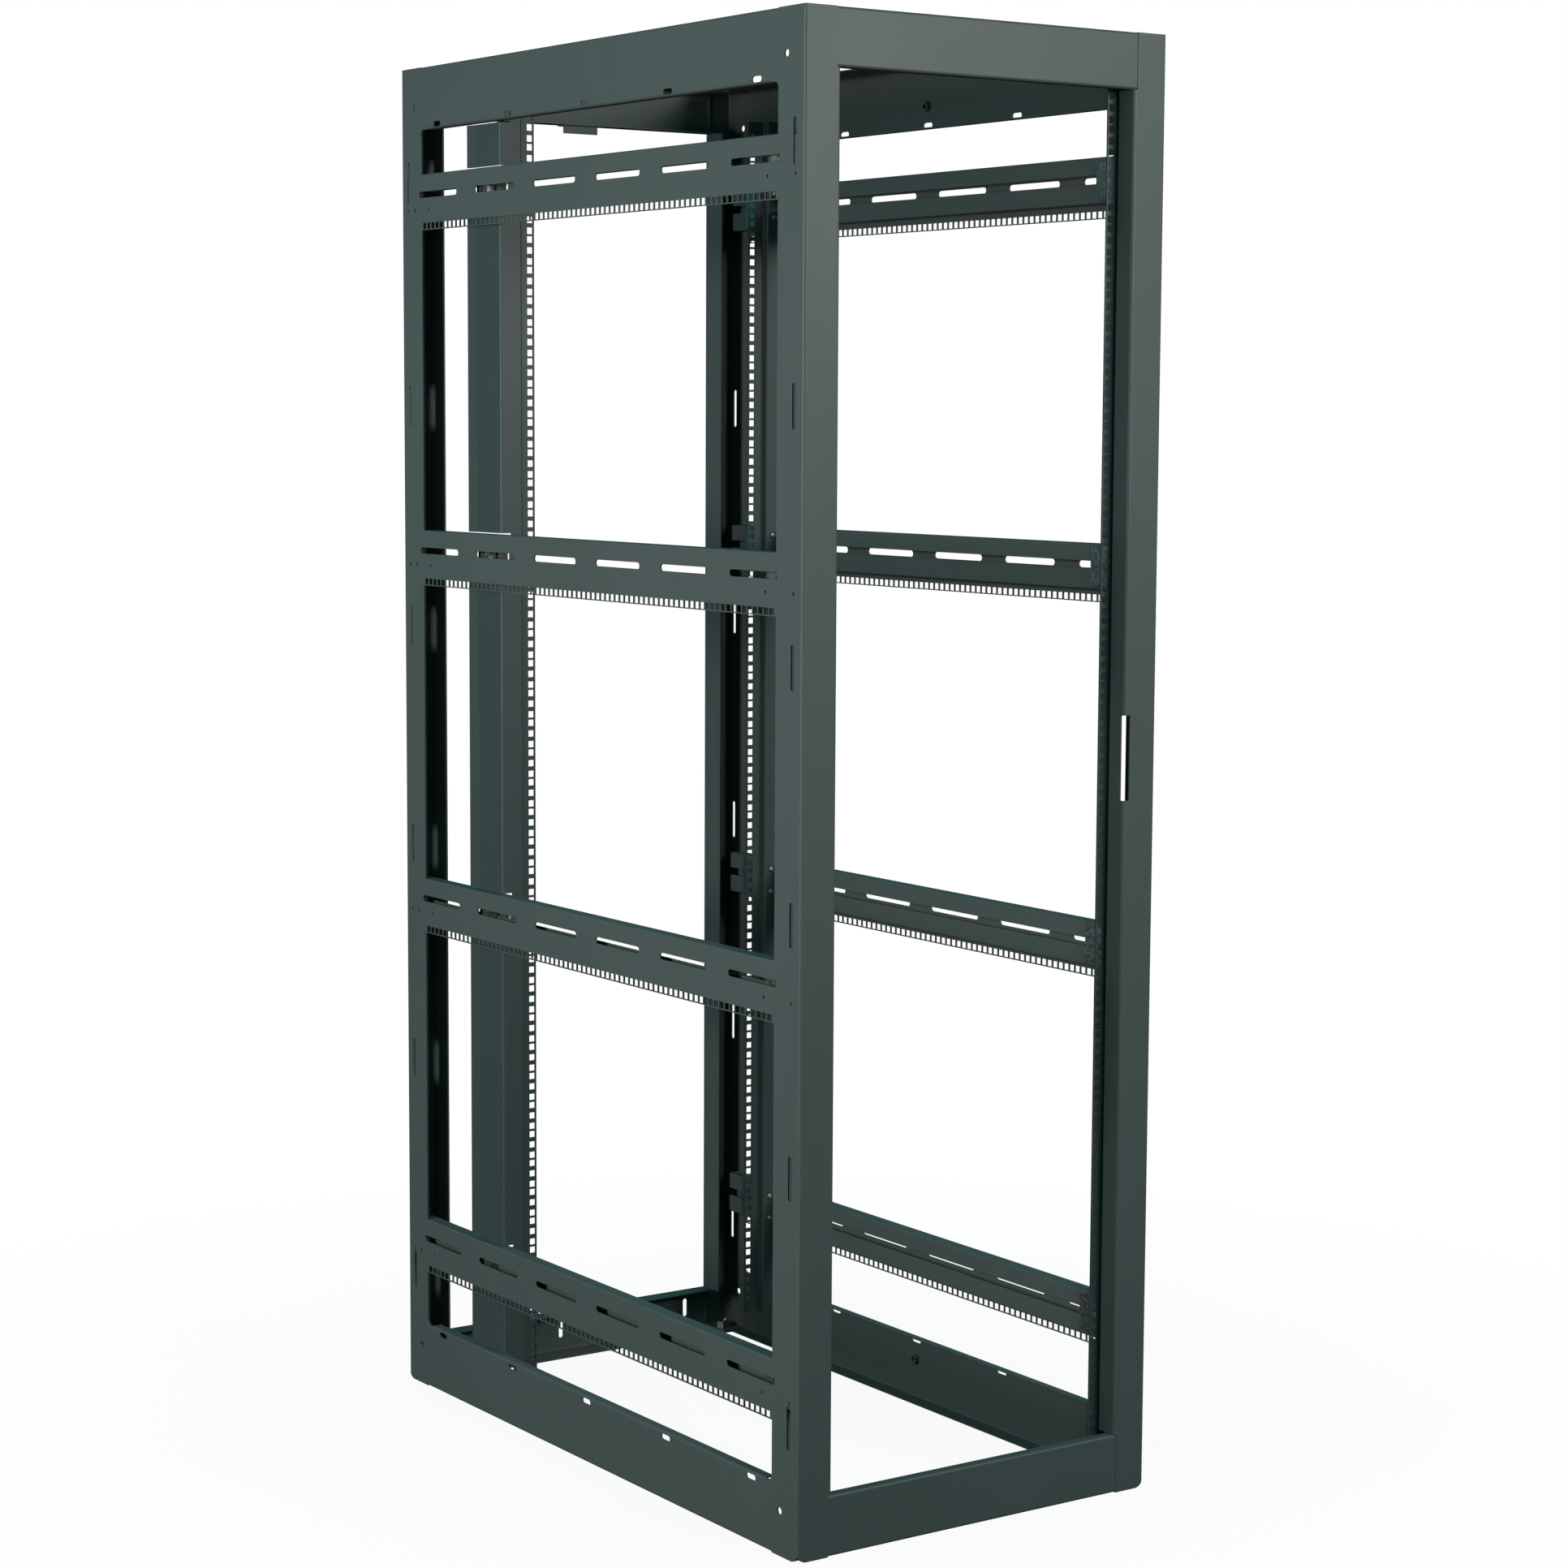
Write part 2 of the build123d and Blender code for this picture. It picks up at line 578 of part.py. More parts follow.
def save_rail(name, face_y, on_right):
    """One rack rail with its brackets, bolts, nuts and screws at every brace."""
    side = right_of if on_right else (lambda shape: shape)
    at_front = name.startswith("front")
    if at_front:
        rail, flange_back = front_rail(face_y), face_y + RAIL_SHEET
        end_x, screw_x = FRONT_BRACKET_END_X, FRONT_SCREW_X
    else:
        rail, flange_back = rear_rail(face_y), face_y - REAR_STEP + RAIL_SHEET
        end_x, screw_x = REAR_BRACKET_END_X, REAR_SCREW_X
    groups = {"rail": [rail], "rail_brackets": [], "clamp_bolts": [], "channel_nuts": [],
              "bracket_screws": []}
    for row in BRACE_ROW_Z:
        groups["rail_brackets"].append(rail_bracket(face_y, row, flange_back, end_x, screw_x))
        groups["clamp_bolts"].append(clamp_bolt(face_y, row))
        groups["channel_nuts"].append(channel_nut(face_y, row))
        groups["bracket_screws"].extend(bracket_screws(row, flange_back, screw_x))
    for kind, shapes in groups.items():
        save(f"{name}_{kind}", [side(shape) for shape in shapes])


# ---- Build -------------------------------------------------------------------------------
os.makedirs("parts", exist_ok=True)

front = front_post()
rear = rear_post()
save("front_left_post", [front])
save("front_right_post", [right_of(front - latch_slot())])
save("rear_left_post", [rear])
save("rear_right_post", [right_of(rear)])

bottom_side = side_rail(SIDE_BOTTOM_EDGE, 0, 1, BOTTOM_OVAL_Z, BOTTOM_SIDE_FLANGE)
top_side = side_rail(SIDE_TOP_EDGE, HEIGHT, -1, TOP_OVAL_Z, TOP_SIDE_FLANGE)
save("left_bottom_side_rail", [bottom_side])
save("right_bottom_side_rail", [right_of(bottom_side)])
save("left_top_side_rail", [top_side])
save("right_top_side_rail", [right_of(top_side)])
side_nuts = [side_rail_nut(z) for z in BAYING_Z]
save("side_rail_nuts", side_nuts + [right_of(nut) for nut in side_nuts])

save("front_bottom_rail", [cross_rail(FRONT_BOTTOM_EDGE, FRONT_FLANGE, FRONT_FACE)])
save("front_top_rail", [upper_of(cross_rail(HEIGHT - FRONT_TOP_EDGE, FRONT_FLANGE, FRONT_FACE))])
save("rear_bottom_rail", [rear_bottom_rail()])
save("rear_top_rail",
     [rear_of(upper_of(cross_rail(HEIGHT - REAR_TOP_EDGE, REAR_FLANGE, REAR_FACE)))])
save("rear_latch_strike", [latch_strike()])

for number, row in enumerate(BRACE_ROW_Z, start=1):
    left_brace = brace(row)
    save(f"left_brace_{number}", [left_brace])
    save(f"right_brace_{number}", [right_of(left_brace)])
end_plates = brace_end_plates()
save("left_brace_end_plates", end_plates)
save("right_brace_end_plates", [right_of(plate) for plate in end_plates])

bottom_plates = [bottom_corner_plate(), rear_bottom_corner_plate()]
top_plates = [top_corner_plate(), rear_top_corner_plate()]
nuts = [weld_nut(), rear_of(weld_nut())]
save("bottom_corner_plates", bottom_plates + [right_of(plate) for plate in bottom_plates])
save("top_corner_plates", top_plates + [right_of(plate) for plate in top_plates])
save("foot_weld_nuts", nuts + [right_of(nut) for nut in nuts])

for rail_name, (rail_y, is_right) in RAILS.items():
    save_rail(rail_name, rail_y, is_right)
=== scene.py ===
import json
import math
import bpy
from mathutils import Matrix, Quaternion, Vector

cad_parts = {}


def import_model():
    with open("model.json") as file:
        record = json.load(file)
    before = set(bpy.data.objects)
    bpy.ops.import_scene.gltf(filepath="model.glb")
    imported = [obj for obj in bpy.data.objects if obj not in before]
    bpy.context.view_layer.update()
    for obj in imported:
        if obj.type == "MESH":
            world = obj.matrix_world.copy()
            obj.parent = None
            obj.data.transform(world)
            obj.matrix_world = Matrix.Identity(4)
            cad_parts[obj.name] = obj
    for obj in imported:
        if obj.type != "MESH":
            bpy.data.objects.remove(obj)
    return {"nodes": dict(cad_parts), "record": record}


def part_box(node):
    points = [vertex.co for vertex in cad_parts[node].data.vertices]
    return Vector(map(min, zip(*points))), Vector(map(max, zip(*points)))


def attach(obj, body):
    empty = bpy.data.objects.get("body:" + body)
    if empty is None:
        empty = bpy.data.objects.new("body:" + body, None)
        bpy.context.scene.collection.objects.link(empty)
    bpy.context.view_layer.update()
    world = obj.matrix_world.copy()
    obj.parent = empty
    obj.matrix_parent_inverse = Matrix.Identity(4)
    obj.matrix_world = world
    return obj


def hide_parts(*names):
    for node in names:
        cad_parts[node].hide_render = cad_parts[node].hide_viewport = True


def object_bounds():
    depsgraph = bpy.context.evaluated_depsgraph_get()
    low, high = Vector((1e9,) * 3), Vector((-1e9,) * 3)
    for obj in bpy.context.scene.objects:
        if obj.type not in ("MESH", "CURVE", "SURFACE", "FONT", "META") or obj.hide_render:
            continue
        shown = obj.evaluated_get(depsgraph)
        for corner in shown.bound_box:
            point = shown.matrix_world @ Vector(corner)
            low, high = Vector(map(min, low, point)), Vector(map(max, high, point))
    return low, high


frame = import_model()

CAD_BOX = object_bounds()
NODES = frame["nodes"]
RAILS = ("front_left", "front_right", "rear_left", "rear_right")

# ---- Sizes, in metres ----------------------------------------------------------------------
# Frame and weld beads
SHEET = 0.002                # frame sheet
POST_SIDE = 0.060            # width of a post on the side of the cabinet
BEAD = 0.0014                # radius of a weld bead
BEAD_SPREAD = 1.5            # half width of a bead over its radius
RIPPLE = 0.0012              # distance between the ripples of a bead
RIPPLE_DEPTH = 0.14          # as a share of the bead's radius
OUTER_FOLD_GAP = 0.008       # bead kept clear of the fold at the floor or the roof
SIDE_FOLD_GAP = 0.014        # and of the other fold of a side rail
CROSS_FOLD_GAP = 0.006       # and of the other edge of a cross rail

# Clamp bolts
BOLT_FLATS = 0.013
BOLT_HEAD = 0.0053
WASHER = 0.0016
WASHER_RADIUS = 0.008
SHANK_RADIUS = 0.004

# Bracket screws
SCREW_RADIUS = 0.0025
SCREW_HEAD_RADIUS = 0.0046
SCREW_HEAD = 0.0028
SCREW_NUT_FLATS = 0.008
SCREW_NUT = 0.004
NUT_SEAT = 0.005             # rail sheet and bracket under the screw's nut

# Threads and hexagons
THREAD_PITCH = 0.00125
THREAD_ROOT = 0.86           # root and tip radius, as shares of the crest radius
THREAD_TIP = 0.80
SIXTH_TURN = math.pi / 3
CHAMFER_ANGLE = 30           # degrees, on the corners of a hexagon
CHAMFER_START = 0.97         # where the chamfer's cone meets the top, as a share of half the flats
TOP_EDGE = 0.95              # edge of a hexagon's flat top, likewise

# Numbers of steps in round shapes
HEXAGON_STEPS = 60
THREAD_STEPS = 40
WASHER_STEPS = 48
PAN_HEAD_STEPS = 72
BEAD_POINTS = 7              # points across a bead
RIPPLE_STEPS = 4             # rings of points in one ripple
TAPER_STEPS = 6              # rings over which the end of a bead rises
SMOOTH_ANGLE = 35            # degrees

# ---- Looks ---------------------------------------------------------------------------------
COAT_COLOUR = (0.078, 0.096, 0.092)
COAT_ROUGHNESS = 0.50
# Rails: the frame's coat made darker, painted shade for the rails that stand inside the frame
RAIL_SHADED_COLOUR = (0.044, 0.062, 0.060)
RAIL_ROUGHNESS = 0.46
COAT_ROUNDING = 0.0006       # radius of the sheet's softened edges
COAT_EDGE_LIGHTENING = 0.0009         # reach of the edges lightened in colour, partly rubbed wear and partly a painted edge highlight
ZINC_BLUE = (0.30, 0.31, 0.33)
ZINC_YELLOW = (0.40, 0.39, 0.36)
# pale zinc on the lightened edges: rubbed wear and painted edge highlight
ZINC_EDGE_HIGHLIGHT_AND_RUB = (0.60, 0.60, 0.58)
ZINC_ROUNDING = 0.0004
# reach of the zinc edges lightened as rubbed wear and painted edge highlight
ZINC_EDGE_LIGHTENING = 0.0006

EDGE_SAMPLES = 4             # rays of a bevel node
EDGE_TURN = (0.97, 0.80)     # cosine of the normals' angle where an edge begins and is full

# Noise scales, in about as many patches per metre
CLOUDS = 2.2
SMUDGES = 7.0
# patches in which the coat's edges are lightened: rubbed wear and painted edge highlight
COAT_EDGE_LIGHT_PATCHES = 38.0
ORANGE_PEEL = 420.0
GRAIN = 1100.0
ZINC_CLOUDS = 60.0
ZINC_EDGE_LIGHT_PATCHES = 90.0
ZINC_DULLING = 180.0
ZINC_LINES = 240.0

# ---- Camera and stage ----------------------------------------------------------------------
SENSOR = 36.0                # millimetres
LENS = 78.43                 # millimetres
CAMERA_PLACE = (-2.80129, -4.11612, 1.504232)
YAW, PITCH, ROLL = 34.645, -6.123, 0.295     # degrees
FAR_CLIP = 200
FLOOR_RADIUS = 40
FLOOR_SIDES = 96
FLOOR_DROP = 0.0005          # keeps the floor just under the cabinet's lowest faces
SHADOW_RANGE = (0.5, 1.8)    # distance from the middle over which the contact shadow fades out
SHADOW_WHITE = 0.93          # share of plain white under the cabinet
PAPER = (0.86, 0.86, 0.86)   # takes the shadow
FLOOR_BOUNCE = (0.06, 0.06, 0.06)            # the floor as other rays meet it
WHITE = (1, 1, 1)
FILL_COLOUR = (0.12, 1.0, 0.97)
FILL_STRENGTH = 0.19
SOFTBOXES = (                # name, place, aimed at, width and height, watts
    ("front_right", (1.2, -4.1, 2.6), (0, -0.5, 2.4), (1.6, 1.4), 112),
    ("side_left", (-3.9, -0.3, 1.7), (0, 0, 1.2), (1.2, 1.4), 108),
)


# ---- Materials -----------------------------------------------------------------------------
MIX_COLOURS = (6, 7)         # a mix node's two colour inputs, and its colour output
MIX_RESULT = 2


class Tree:
    """Short calls for building one material's nodes."""

    def __init__(self, name):
        self.mat = bpy.data.materials.new(name)
        self.mat.use_nodes = True
        self.nodes = self.mat.node_tree.nodes
        self.links = self.mat.node_tree.links
        self.nodes.clear()
        self.out = self.nodes.new("ShaderNodeOutputMaterial")
        self.coord = self.nodes.new("ShaderNodeTexCoord").outputs["Object"]

    def link(self, a, b):
        self.links.new(a, b)

    def noise(self, scale, detail=2.0, rough=0.5, stretch=None):
        n = self.nodes.new("ShaderNodeTexNoise")
        n.inputs["Scale"].default_value = scale
        n.inputs["Detail"].default_value = detail
        n.inputs["Roughness"].default_value = rough
        source = self.coord
        if stretch:
            m = self.nodes.new("ShaderNodeMapping")
            m.inputs["Scale"].default_value = stretch
            self.link(self.coord, m.inputs["Vector"])
            source = m.outputs["Vector"]
        self.link(source, n.inputs["Vector"])
        return n.outputs["Fac"]

    def remap(self, value, low, high, to_low, to_high):
        n = self.nodes.new("ShaderNodeMapRange")
        for key, number in zip(("From Min", "From Max", "To Min", "To Max"), (low, high, to_low, to_high)):
            n.inputs[key].default_value = number
        self.link(value, n.inputs["Value"])
        return n.outputs["Result"]

    def product(self, a, b):
        n = self.nodes.new("ShaderNodeMath")
        n.operation = "MULTIPLY"
        self.link(a, n.inputs[0])
        self.link(b, n.inputs[1])
        return n.outputs[0]

    def blend(self, factor, a, b):
        """Mixes two colours, each a tuple or a socket."""
        n = self.nodes.new("ShaderNodeMix")
        n.data_type = "RGBA"
        self.link(factor, n.inputs["Factor"])
        for key, colour in zip(MIX_COLOURS, (a, b)):
            if isinstance(colour, tuple):
                n.inputs[key].default_value = (*colour, 1)
            else:
                self.link(colour, n.inputs[key])
        return n.outputs[MIX_RESULT]

    def rounded(self, radius):
        """Normal that turns smoothly over the sheet's sheared edges."""
        n = self.nodes.new("ShaderNodeBevel")
        n.samples = EDGE_SAMPLES
        n.inputs["Radius"].default_value = radius
        return n.outputs["Normal"]

    def edge_mask(self, radius):
        """1 on edges and 0 on faces."""
        dot = self.nodes.new("ShaderNodeVectorMath")
        dot.operation = "DOT_PRODUCT"
        self.link(self.rounded(radius), dot.inputs[0])
        self.link(self.nodes.new("ShaderNodeNewGeometry").outputs["True Normal"], dot.inputs[1])
        return self.remap(dot.outputs["Value"], *EDGE_TURN, 0.0, 1.0)

    def bump(self, height, distance, strength, under):
        n = self.nodes.new("ShaderNodeBump")
        n.inputs["Distance"].default_value = distance
        n.inputs["Strength"].default_value = strength
        self.link(height, n.inputs["Height"])
        self.link(under, n.inputs["Normal"])
        return n.outputs["Normal"]

    def principled(self, **constants):
        n = self.nodes.new("ShaderNodeBsdfPrincipled")
        for key, value in constants.items():
            n.inputs[key].default_value = value
        self.link(n.outputs["BSDF"], self.out.inputs["Surface"])
        return n.inputs


def scaled(colour, factor):
    """A lighter or darker tone of a colour."""
    return tuple(min(1.0, c * factor) for c in colour)


def powder_coat(name, colour, rough):
    """Fine-textured powder coat: orange peel, grain, and edges lightened in patches, partly rubbed wear
    and partly a painted edge highlight.
    """
    t = Tree(name)
    cloud = t.remap(t.noise(CLOUDS, detail=3.0), 0.3, 0.7, 0.0, 1.0)
    base = t.blend(cloud, scaled(colour, 0.97), scaled(colour, 1.03))
    grain = t.noise(GRAIN, rough=0.6)
    base = t.blend(t.remap(grain, 0.60, 0.75, 0.0, 0.20), base, scaled(colour, 1.6))
    # Edges lightened in patches towards a paler tone: partly rubbed wear, partly a painted edge highlight.
    edge_light_patches = t.remap(t.noise(COAT_EDGE_LIGHT_PATCHES, detail=3.0), 0.42, 0.66, 0.05, 0.30)
    lightened_edges = t.product(t.edge_mask(COAT_EDGE_LIGHTENING), edge_light_patches)
    base = t.blend(lightened_edges, base, scaled(colour, 2.4))
    p = t.principled(Metallic=0.0, IOR=1.47)
    t.link(base, p["Base Color"])
    smudge = t.noise(SMUDGES, detail=5.0, rough=0.6, stretch=(1.0, 1.0, 0.3))
    t.link(t.remap(smudge, 0.3, 0.7, rough - 0.03, rough + 0.04), p["Roughness"])
    peel = t.bump(t.noise(ORANGE_PEEL, detail=3.0, rough=0.55), 0.00010, 0.45, t.rounded(COAT_ROUNDING))
    t.link(t.bump(grain, 0.00005, 0.5, peel), p["Normal"])
    return t.mat


def zinc(name):
    """Zinc plating with faint drawn lines and a cloudy, slightly yellow and blue passivation."""
    t = Tree(name)
    cloud = t.remap(t.noise(ZINC_CLOUDS, detail=4.0, rough=0.6), 0.35, 0.65, 0.0, 1.0)
    base = t.blend(cloud, ZINC_BLUE, ZINC_YELLOW)
    # Zinc edges lightened in patches: partly rubbed wear, partly a painted edge highlight.
    lightened_edges = t.product(t.edge_mask(ZINC_EDGE_LIGHTENING), t.remap(t.noise(ZINC_EDGE_LIGHT_PATCHES), 0.4, 0.6, 0.2, 0.8))
    base = t.blend(lightened_edges, base, ZINC_EDGE_HIGHLIGHT_AND_RUB)
    p = t.principled(Metallic=1.0)
    t.link(base, p["Base Color"])
    t.link(t.remap(t.noise(ZINC_DULLING, detail=3.0), 0.3, 0.7, 0.30, 0.50), p["Roughness"])
    lines = t.noise(ZINC_LINES, stretch=(1.0, 0.12, 1.0))
    t.link(t.bump(lines, 0.00004, 0.5, t.rounded(ZINC_ROUNDING)), p["Normal"])
    return t.mat


BY_SLOT = {
    "frame_coat": powder_coat("frame_powder_coat", COAT_COLOUR, COAT_ROUGHNESS),
    # The rails' darker coat is painted shade.
    "rail_coat": powder_coat("rail_coat_darkened_for_shade", RAIL_SHADED_COLOUR, RAIL_ROUGHNESS),
    "zinc_plated_steel": zinc("zinc_plating"),
}

for part in frame["record"]["subparts"]:
    materials = NODES[part["node"]].data.materials
    materials.clear()
    materials.append(BY_SLOT[part["material_slot"]])


# ---- Helpers for detail pieces -------------------------------------------------------------
def add_mesh(name, shapes, slot, body):
    """One object from several (vertices, faces) shapes, riding on a body."""
    vertices, faces = [], []
    for shape_vertices, shape_faces in shapes:
        start = len(vertices)
        vertices.extend(shape_vertices)
        faces.extend([tuple(start + i for i in face) for face in shape_faces])
    data = bpy.data.meshes.new(name)
    data.from_pydata(vertices, [], faces)
    data.materials.append(BY_SLOT[slot])
    data.shade_smooth()
    data.set_sharp_from_angle(angle=math.radians(SMOOTH_ANGLE))
    obj = bpy.data.objects.new(name, data)
    bpy.context.scene.collection.objects.link(obj)
    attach(obj, body)
    return obj


def islands(node):
    """(centre, lowest corner, highest corner) of each separate solid of a CAD node."""
    data = NODES[node].data
    points = [v.co.copy() for v in data.vertices]
    parent = list(range(len(points)))

    def root(i):
        while parent[i] != i:
            parent[i] = parent[parent[i]]
            i = parent[i]
        return i

    # Vertices at one place, or joined by an edge, belong to one solid.
    first = {}
    for i, point in enumerate(points):
        place = tuple(round(c, 5) for c in point)
        parent[root(i)] = root(first.setdefault(place, i))
    for edge in data.edges:
        a, b = edge.vertices
        parent[root(a)] = root(b)
    groups = {}
    for i, point in enumerate(points):
        groups.setdefault(root(i), []).append(point)
    found = []
    for group in groups.values():
        low = Vector([min(p[k] for p in group) for k in range(3)])
        high = Vector([max(p[k] for p in group) for k in range(3)])
        found.append(((low + high) / 2, low, high))
    return found


def turned(rings, segments, matrix):
    """A closed shape round the local z axis.  Each ring gives (radius, height) for an angle."""
    vertices = []
    for ring in rings:
        for step in range(segments):
            angle = 2 * math.pi * step / segments
            radius, height = ring(angle)
            vertices.append(matrix @ Vector((radius * math.cos(angle), radius * math.sin(angle), height)))
    faces = [tuple(reversed(range(segments)))]
    for row in range(len(rings) - 1):
        for step in range(segments):
            a = row * segments + step
            b = row * segments + (step + 1) % segments
            faces.append((a, b, b + segments, a + segments))
    last = (len(rings) - 1) * segments
    faces.append(tuple(range(last, last + segments)))
    return vertices, faces


def circle(radius, height):
    """Ring of one radius at one height."""
    return lambda angle: (radius, height)


def hexagon_reach(flats, angle):
    """Distance from the middle of a hexagon to its side, at an angle."""
    return flats / 2 / math.cos((angle + SIXTH_TURN / 2) % SIXTH_TURN - SIXTH_TURN / 2)


def hexagon(flats, height):
    """Ring with six sides at one height."""
    return lambda angle: (hexagon_reach(flats, angle), height)


def chamfered_hexagon(flats, top):
    """Ring on the chamfered upper edge of a hexagon; its height falls towards the corners."""
    fall = math.tan(math.radians(CHAMFER_ANGLE))
    start = flats / 2 * CHAMFER_START

    def ring(angle):
        reach = hexagon_reach(flats, angle)
        return reach, top - fall * (reach - start)
    return ring


def hex_block(flats, low, high, matrix):
    """Hexagon with its upper corners chamfered, from a low to a high level."""
    rings = [hexagon(flats, low), chamfered_hexagon(flats, high), circle(flats / 2 * TOP_EDGE, high)]
    return turned(rings, HEXAGON_STEPS, matrix)


def thread(radius, low, high, matrix):
    """Threaded end: roots and crests, and a chamfer at the tip."""
    root = radius * THREAD_ROOT
    rings = [circle(root, low)]
    for turn in range(max(1, int((high - low) / THREAD_PITCH) - 1)):
        level = low + turn * THREAD_PITCH
        rings.append(circle(radius, level + THREAD_PITCH * 0.25))
        rings.append(circle(root, level + THREAD_PITCH * 0.75))
    rings.append(circle(radius * THREAD_TIP, high))
    return turned(rings, THREAD_STEPS, matrix)


def washer(radius, thickness, matrix):
    """Flat washer with softened edges."""
    soft = thickness * 0.2
    rings = [circle(radius - soft, 0), circle(radius, soft), circle(radius, thickness - soft),
             circle(radius - soft, thickness)]
    return turned(rings, WASHER_STEPS, matrix)


def pan_head(radius, height, matrix):
    """Pan head with a cross recess that deepens towards the middle."""
    half_width = radius * 0.16
    reach = radius * 0.52
    edge_depth = height * 0.12
    deepening = height * 0.55

    def dome(share):
        def ring(angle):
            r = radius * share
            x, y = r * math.cos(angle), r * math.sin(angle)
            level = height * math.sqrt(max(0.0, 1 - (share * 0.93) ** 4))
            in_cross = min(abs(x), abs(y)) < half_width and r < reach
            return r, level - (deepening * (1 - r / reach) + edge_depth if in_cross else 0)
        return ring
    shares = (1.0, 0.98, 0.94, 0.88, 0.80, 0.70, 0.60, 0.53, 0.50, 0.44, 0.36, 0.28, 0.20, 0.12, 0.05)
    return turned([circle(radius, 0)] + [dome(share) for share in shares], PAN_HEAD_STEPS, matrix)


def facing(axis):
    """Rotation that turns the local z axis along a given axis."""
    return Vector(axis).to_track_quat("Z", "Y").to_matrix().to_4x4()


def bead(start, end, toward):
    """Rippled weld bead along an inside joint; toward points out of the corner."""
    start, end = Vector(start), Vector(end)
    along = (end - start).normalized()
    out = Vector(toward).normalized()
    side = along.cross(out)
    count = int((end - start).length / (RIPPLE / RIPPLE_STEPS))
    vertices, faces = [], []
    for step in range(count + 1):
        phase = (step % RIPPLE_STEPS) / RIPPLE_STEPS
        taper = min(1.0, (step + 1) / TAPER_STEPS, (count - step + 1) / TAPER_STEPS)
        size = BEAD * (1 - RIPPLE_DEPTH + RIPPLE_DEPTH * math.sin(math.pi * phase)) * taper
        centre = start + (end - start) * (step / count)
        for k in range(BEAD_POINTS):
            angle = math.pi * k / (BEAD_POINTS - 1)
            across = side * (math.cos(angle) * size * BEAD_SPREAD)
            vertices.append(centre + out * (math.sin(angle) * size) + across)
    for step in range(count):
        for k in range(BEAD_POINTS - 1):
            a = step * BEAD_POINTS + k
            faces.append((a, a + 1, a + 1 + BEAD_POINTS, a + BEAD_POINTS))
    for first, order in ((0, 1), (count * BEAD_POINTS, -1)):
        faces.append(tuple(range(first, first + BEAD_POINTS))[::order])
    return vertices, faces


def bead_span(level, low, high, inner_gap):
    """Heights of the two ends of a bead on a rail, clear of the rail's folds."""
    if level == "bottom":
        return low + OUTER_FOLD_GAP, high - inner_gap
    return low + inner_gap, high - OUTER_FOLD_GAP


# ---- Detail pieces -------------------------------------------------------------------------
def clamp_bolts(rail):
    """Hexagon bolts and washers of one rail, in place of the plain CAD ones."""
    node = f"{rail}_clamp_bolts"
    shapes = []
    inward = 1 if rail.endswith("left") else -1
    for centre, low, high in islands(node):
        head_x, tip_x = (high.x, low.x) if inward > 0 else (low.x, high.x)
        seat_x = head_x - inward * (BOLT_HEAD + WASHER)
        place = Matrix.Translation((seat_x, centre.y, centre.z)) @ facing((inward, 0, 0))
        shapes.append(washer(WASHER_RADIUS, WASHER, place))
        shapes.append(hex_block(BOLT_FLATS, WASHER, WASHER + BOLT_HEAD, place))
        turned_back = place @ Matrix.Rotation(math.pi, 4, "X")
        shapes.append(thread(SHANK_RADIUS, 0, abs(seat_x - tip_x), turned_back))
    bolts = add_mesh(f"{rail}_hex_bolts", shapes, "zinc_plated_steel", f"{rail}_rail_body")
    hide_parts(node)


def bracket_screws(rail):
    """Cross-recessed screws and their nuts of one rail, in place of the plain CAD ones."""
    node = f"{rail}_bracket_screws"
    shapes = []
    for centre, low, high in islands(node):
        seat = Matrix.Translation((centre.x, low.y + SCREW_HEAD, centre.z))
        back = seat @ facing((0, 1, 0))
        shapes.append(pan_head(SCREW_HEAD_RADIUS, SCREW_HEAD, seat @ facing((0, -1, 0))))
        shapes.append(thread(SCREW_RADIUS, 0, high.y - low.y - SCREW_HEAD, back))
        shapes.append(hex_block(SCREW_NUT_FLATS, NUT_SEAT, NUT_SEAT + SCREW_NUT, back))
    screws = add_mesh(f"{rail}_cross_screws", shapes, "zinc_plated_steel", f"{rail}_rail_body")
    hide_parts(node)


def frame_welds():
    """Beads behind the seams where the side rails and cross rails meet the posts."""
    shapes = []
    low, high = CAD_BOX
    for name, inward, x in (("left", 1, low[0] + SHEET), ("right", -1, high[0] - SHEET)):
        for level in ("bottom", "top"):
            rail_low, rail_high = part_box(f"{name}_{level}_side_rail")
            z_low, z_high = bead_span(level, rail_low[2], rail_high[2], SIDE_FOLD_GAP)
            for y in (low[1] + POST_SIDE, high[1] - POST_SIDE):
                shapes.append(bead((x, y, z_low), (x, y, z_high), (inward, 0, 0)))
    for end, inward in (("front", 1), ("rear", -1)):
        for level in ("bottom", "top"):
            rail_low, rail_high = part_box(f"{end}_{level}_rail")
            y = rail_low[1] + SHEET if inward > 0 else rail_high[1] - SHEET
            z_low, z_high = bead_span(level, rail_low[2], rail_high[2], CROSS_FOLD_GAP)
            for x in (rail_low[0], rail_high[0]):
                shapes.append(bead((x, y, z_low), (x, y, z_high), (0, inward, 0)))
    add_mesh("frame_weld_beads", shapes, "frame_coat", "frame")


for rail_name in RAILS:
    clamp_bolts(rail_name)
    bracket_screws(rail_name)
frame_welds()


# ---- Stage ---------------------------------------------------------------------------------
def mixed(tree, factor, a, b):
    """Blend of two shaders; the factor is the share of the second one."""
    n = tree.nodes.new("ShaderNodeMixShader")
    for socket, source in zip(n.inputs, (factor, a, b)):
        tree.links.new(source, socket)
    return n.outputs[0]


def shader(tree, kind, **constants):
    """Output of a new shader node whose inputs are constants."""
    n = tree.nodes.new(kind)
    for key, value in constants.items():
        n.inputs[key].default_value = value
    return n.outputs[0]


def seen_by_camera(tree):
    """1 for what the camera sees directly and 0 for light on its way round the scene."""
    return tree.nodes.new("ShaderNodeLightPath").outputs["Is Camera Ray"]


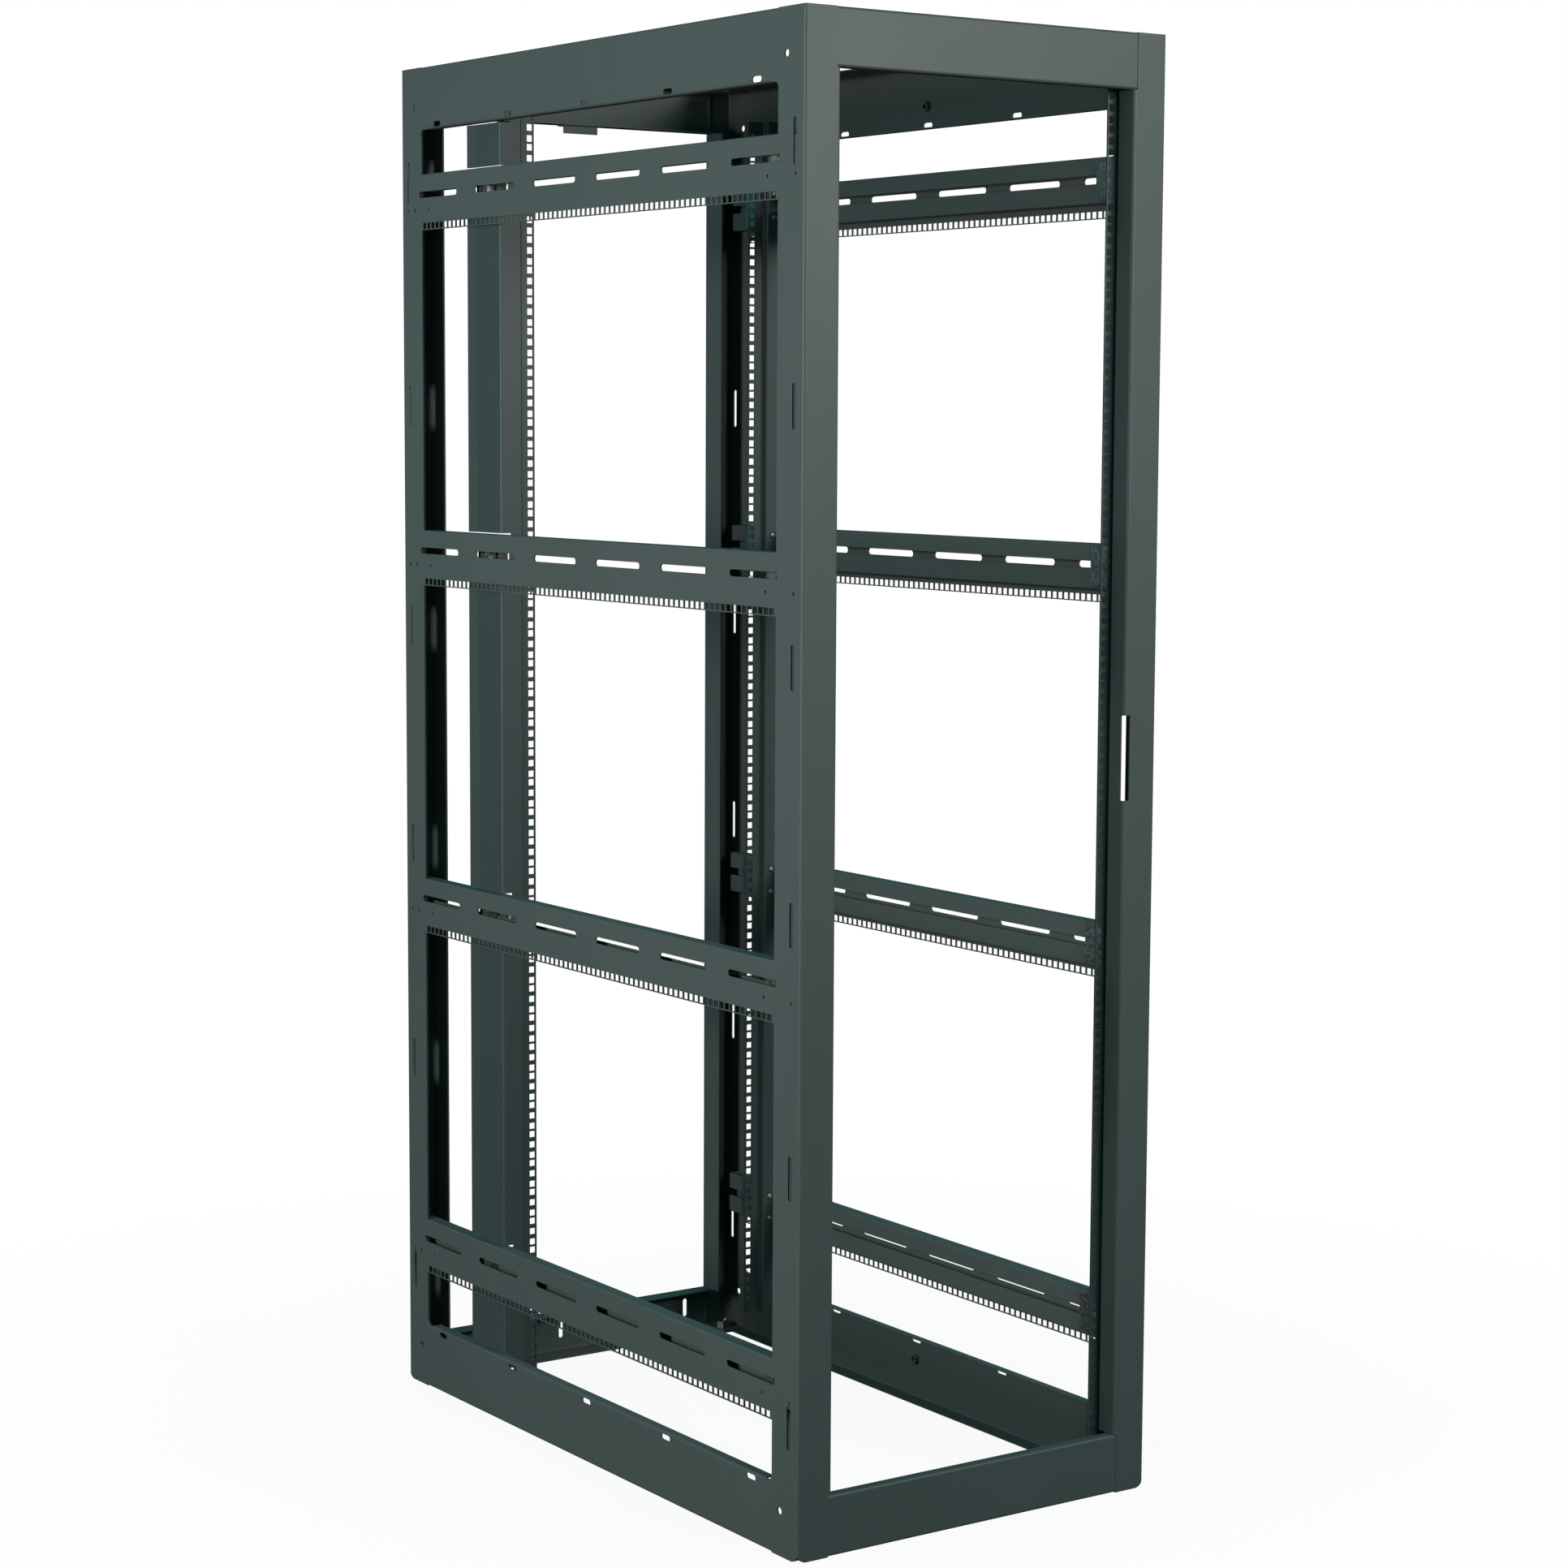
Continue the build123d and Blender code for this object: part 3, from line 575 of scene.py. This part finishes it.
def floor():
    """White floor with a faint contact shadow; to other rays it is dark, so it throws little light up."""
    bpy.ops.mesh.primitive_circle_add(vertices=FLOOR_SIDES, radius=FLOOR_RADIUS, fill_type="NGON",
                                      location=(0, 0, -FLOOR_DROP))
    obj = bpy.context.object
    obj.name = "studio_floor"
    t = Tree("studio_floor")
    distance = t.nodes.new("ShaderNodeVectorMath")
    distance.operation = "LENGTH"
    t.link(t.coord, distance.inputs[0])
    whiteness = t.remap(distance.outputs["Value"], *SHADOW_RANGE, SHADOW_WHITE, 1.0)
    paper = shader(t, "ShaderNodeBsdfDiffuse", Color=(*PAPER, 1))
    shown = mixed(t, whiteness, paper, shader(t, "ShaderNodeEmission", Color=(*WHITE, 1), Strength=1.0))
    bounce = shader(t, "ShaderNodeBsdfDiffuse", Color=(*FLOOR_BOUNCE, 1))
    t.link(mixed(t, seen_by_camera(t), bounce, shown), t.out.inputs["Surface"])
    obj.data.materials.append(t.mat)


def world():
    """White behind the cabinet, with a weak blue-green light from all round."""
    w = bpy.data.worlds.new("studio")
    bpy.context.scene.world = w
    w.use_nodes = True
    tree = w.node_tree
    tree.nodes.clear()
    out = tree.nodes.new("ShaderNodeOutputWorld")
    fill = shader(tree, "ShaderNodeBackground", Color=(*FILL_COLOUR, 1), Strength=FILL_STRENGTH)
    seen = shader(tree, "ShaderNodeBackground", Color=(*WHITE, 1), Strength=1.0)
    tree.links.new(mixed(tree, seen_by_camera(tree), fill, seen), out.inputs["Surface"])


def softbox(name, place, target, size, power):
    """Rectangular light aimed at a point."""
    data = bpy.data.lights.new(name, "AREA")
    data.shape = "RECTANGLE"
    data.size, data.size_y = size
    data.energy = power
    obj = bpy.data.objects.new(name, data)
    bpy.context.scene.collection.objects.link(obj)
    obj.location = place
    obj.rotation_euler = (Vector(target) - Vector(place)).to_track_quat("-Z", "Y").to_euler()


def camera():
    """At the front left, at three quarters of the cabinet's height, and tipped down slightly."""
    data = bpy.data.cameras.new("camera")
    obj = bpy.data.objects.new("camera", data)
    bpy.context.scene.collection.objects.link(obj)
    bpy.context.scene.camera = obj
    data.sensor_width = SENSOR
    data.lens = LENS
    data.clip_end = FAR_CLIP
    yaw, pitch, roll = (math.radians(a) for a in (YAW, PITCH, ROLL))
    ahead = Vector((math.sin(yaw) * math.cos(pitch), math.cos(yaw) * math.cos(pitch), math.sin(pitch)))
    obj.rotation_mode = "QUATERNION"
    obj.rotation_quaternion = ahead.to_track_quat("-Z", "Y") @ Quaternion((0, 0, 1), roll)
    obj.location = CAMERA_PLACE


floor()
world()
for box_settings in SOFTBOXES:
    softbox(*box_settings)
camera()
bpy.context.scene.view_settings.view_transform = "Standard"
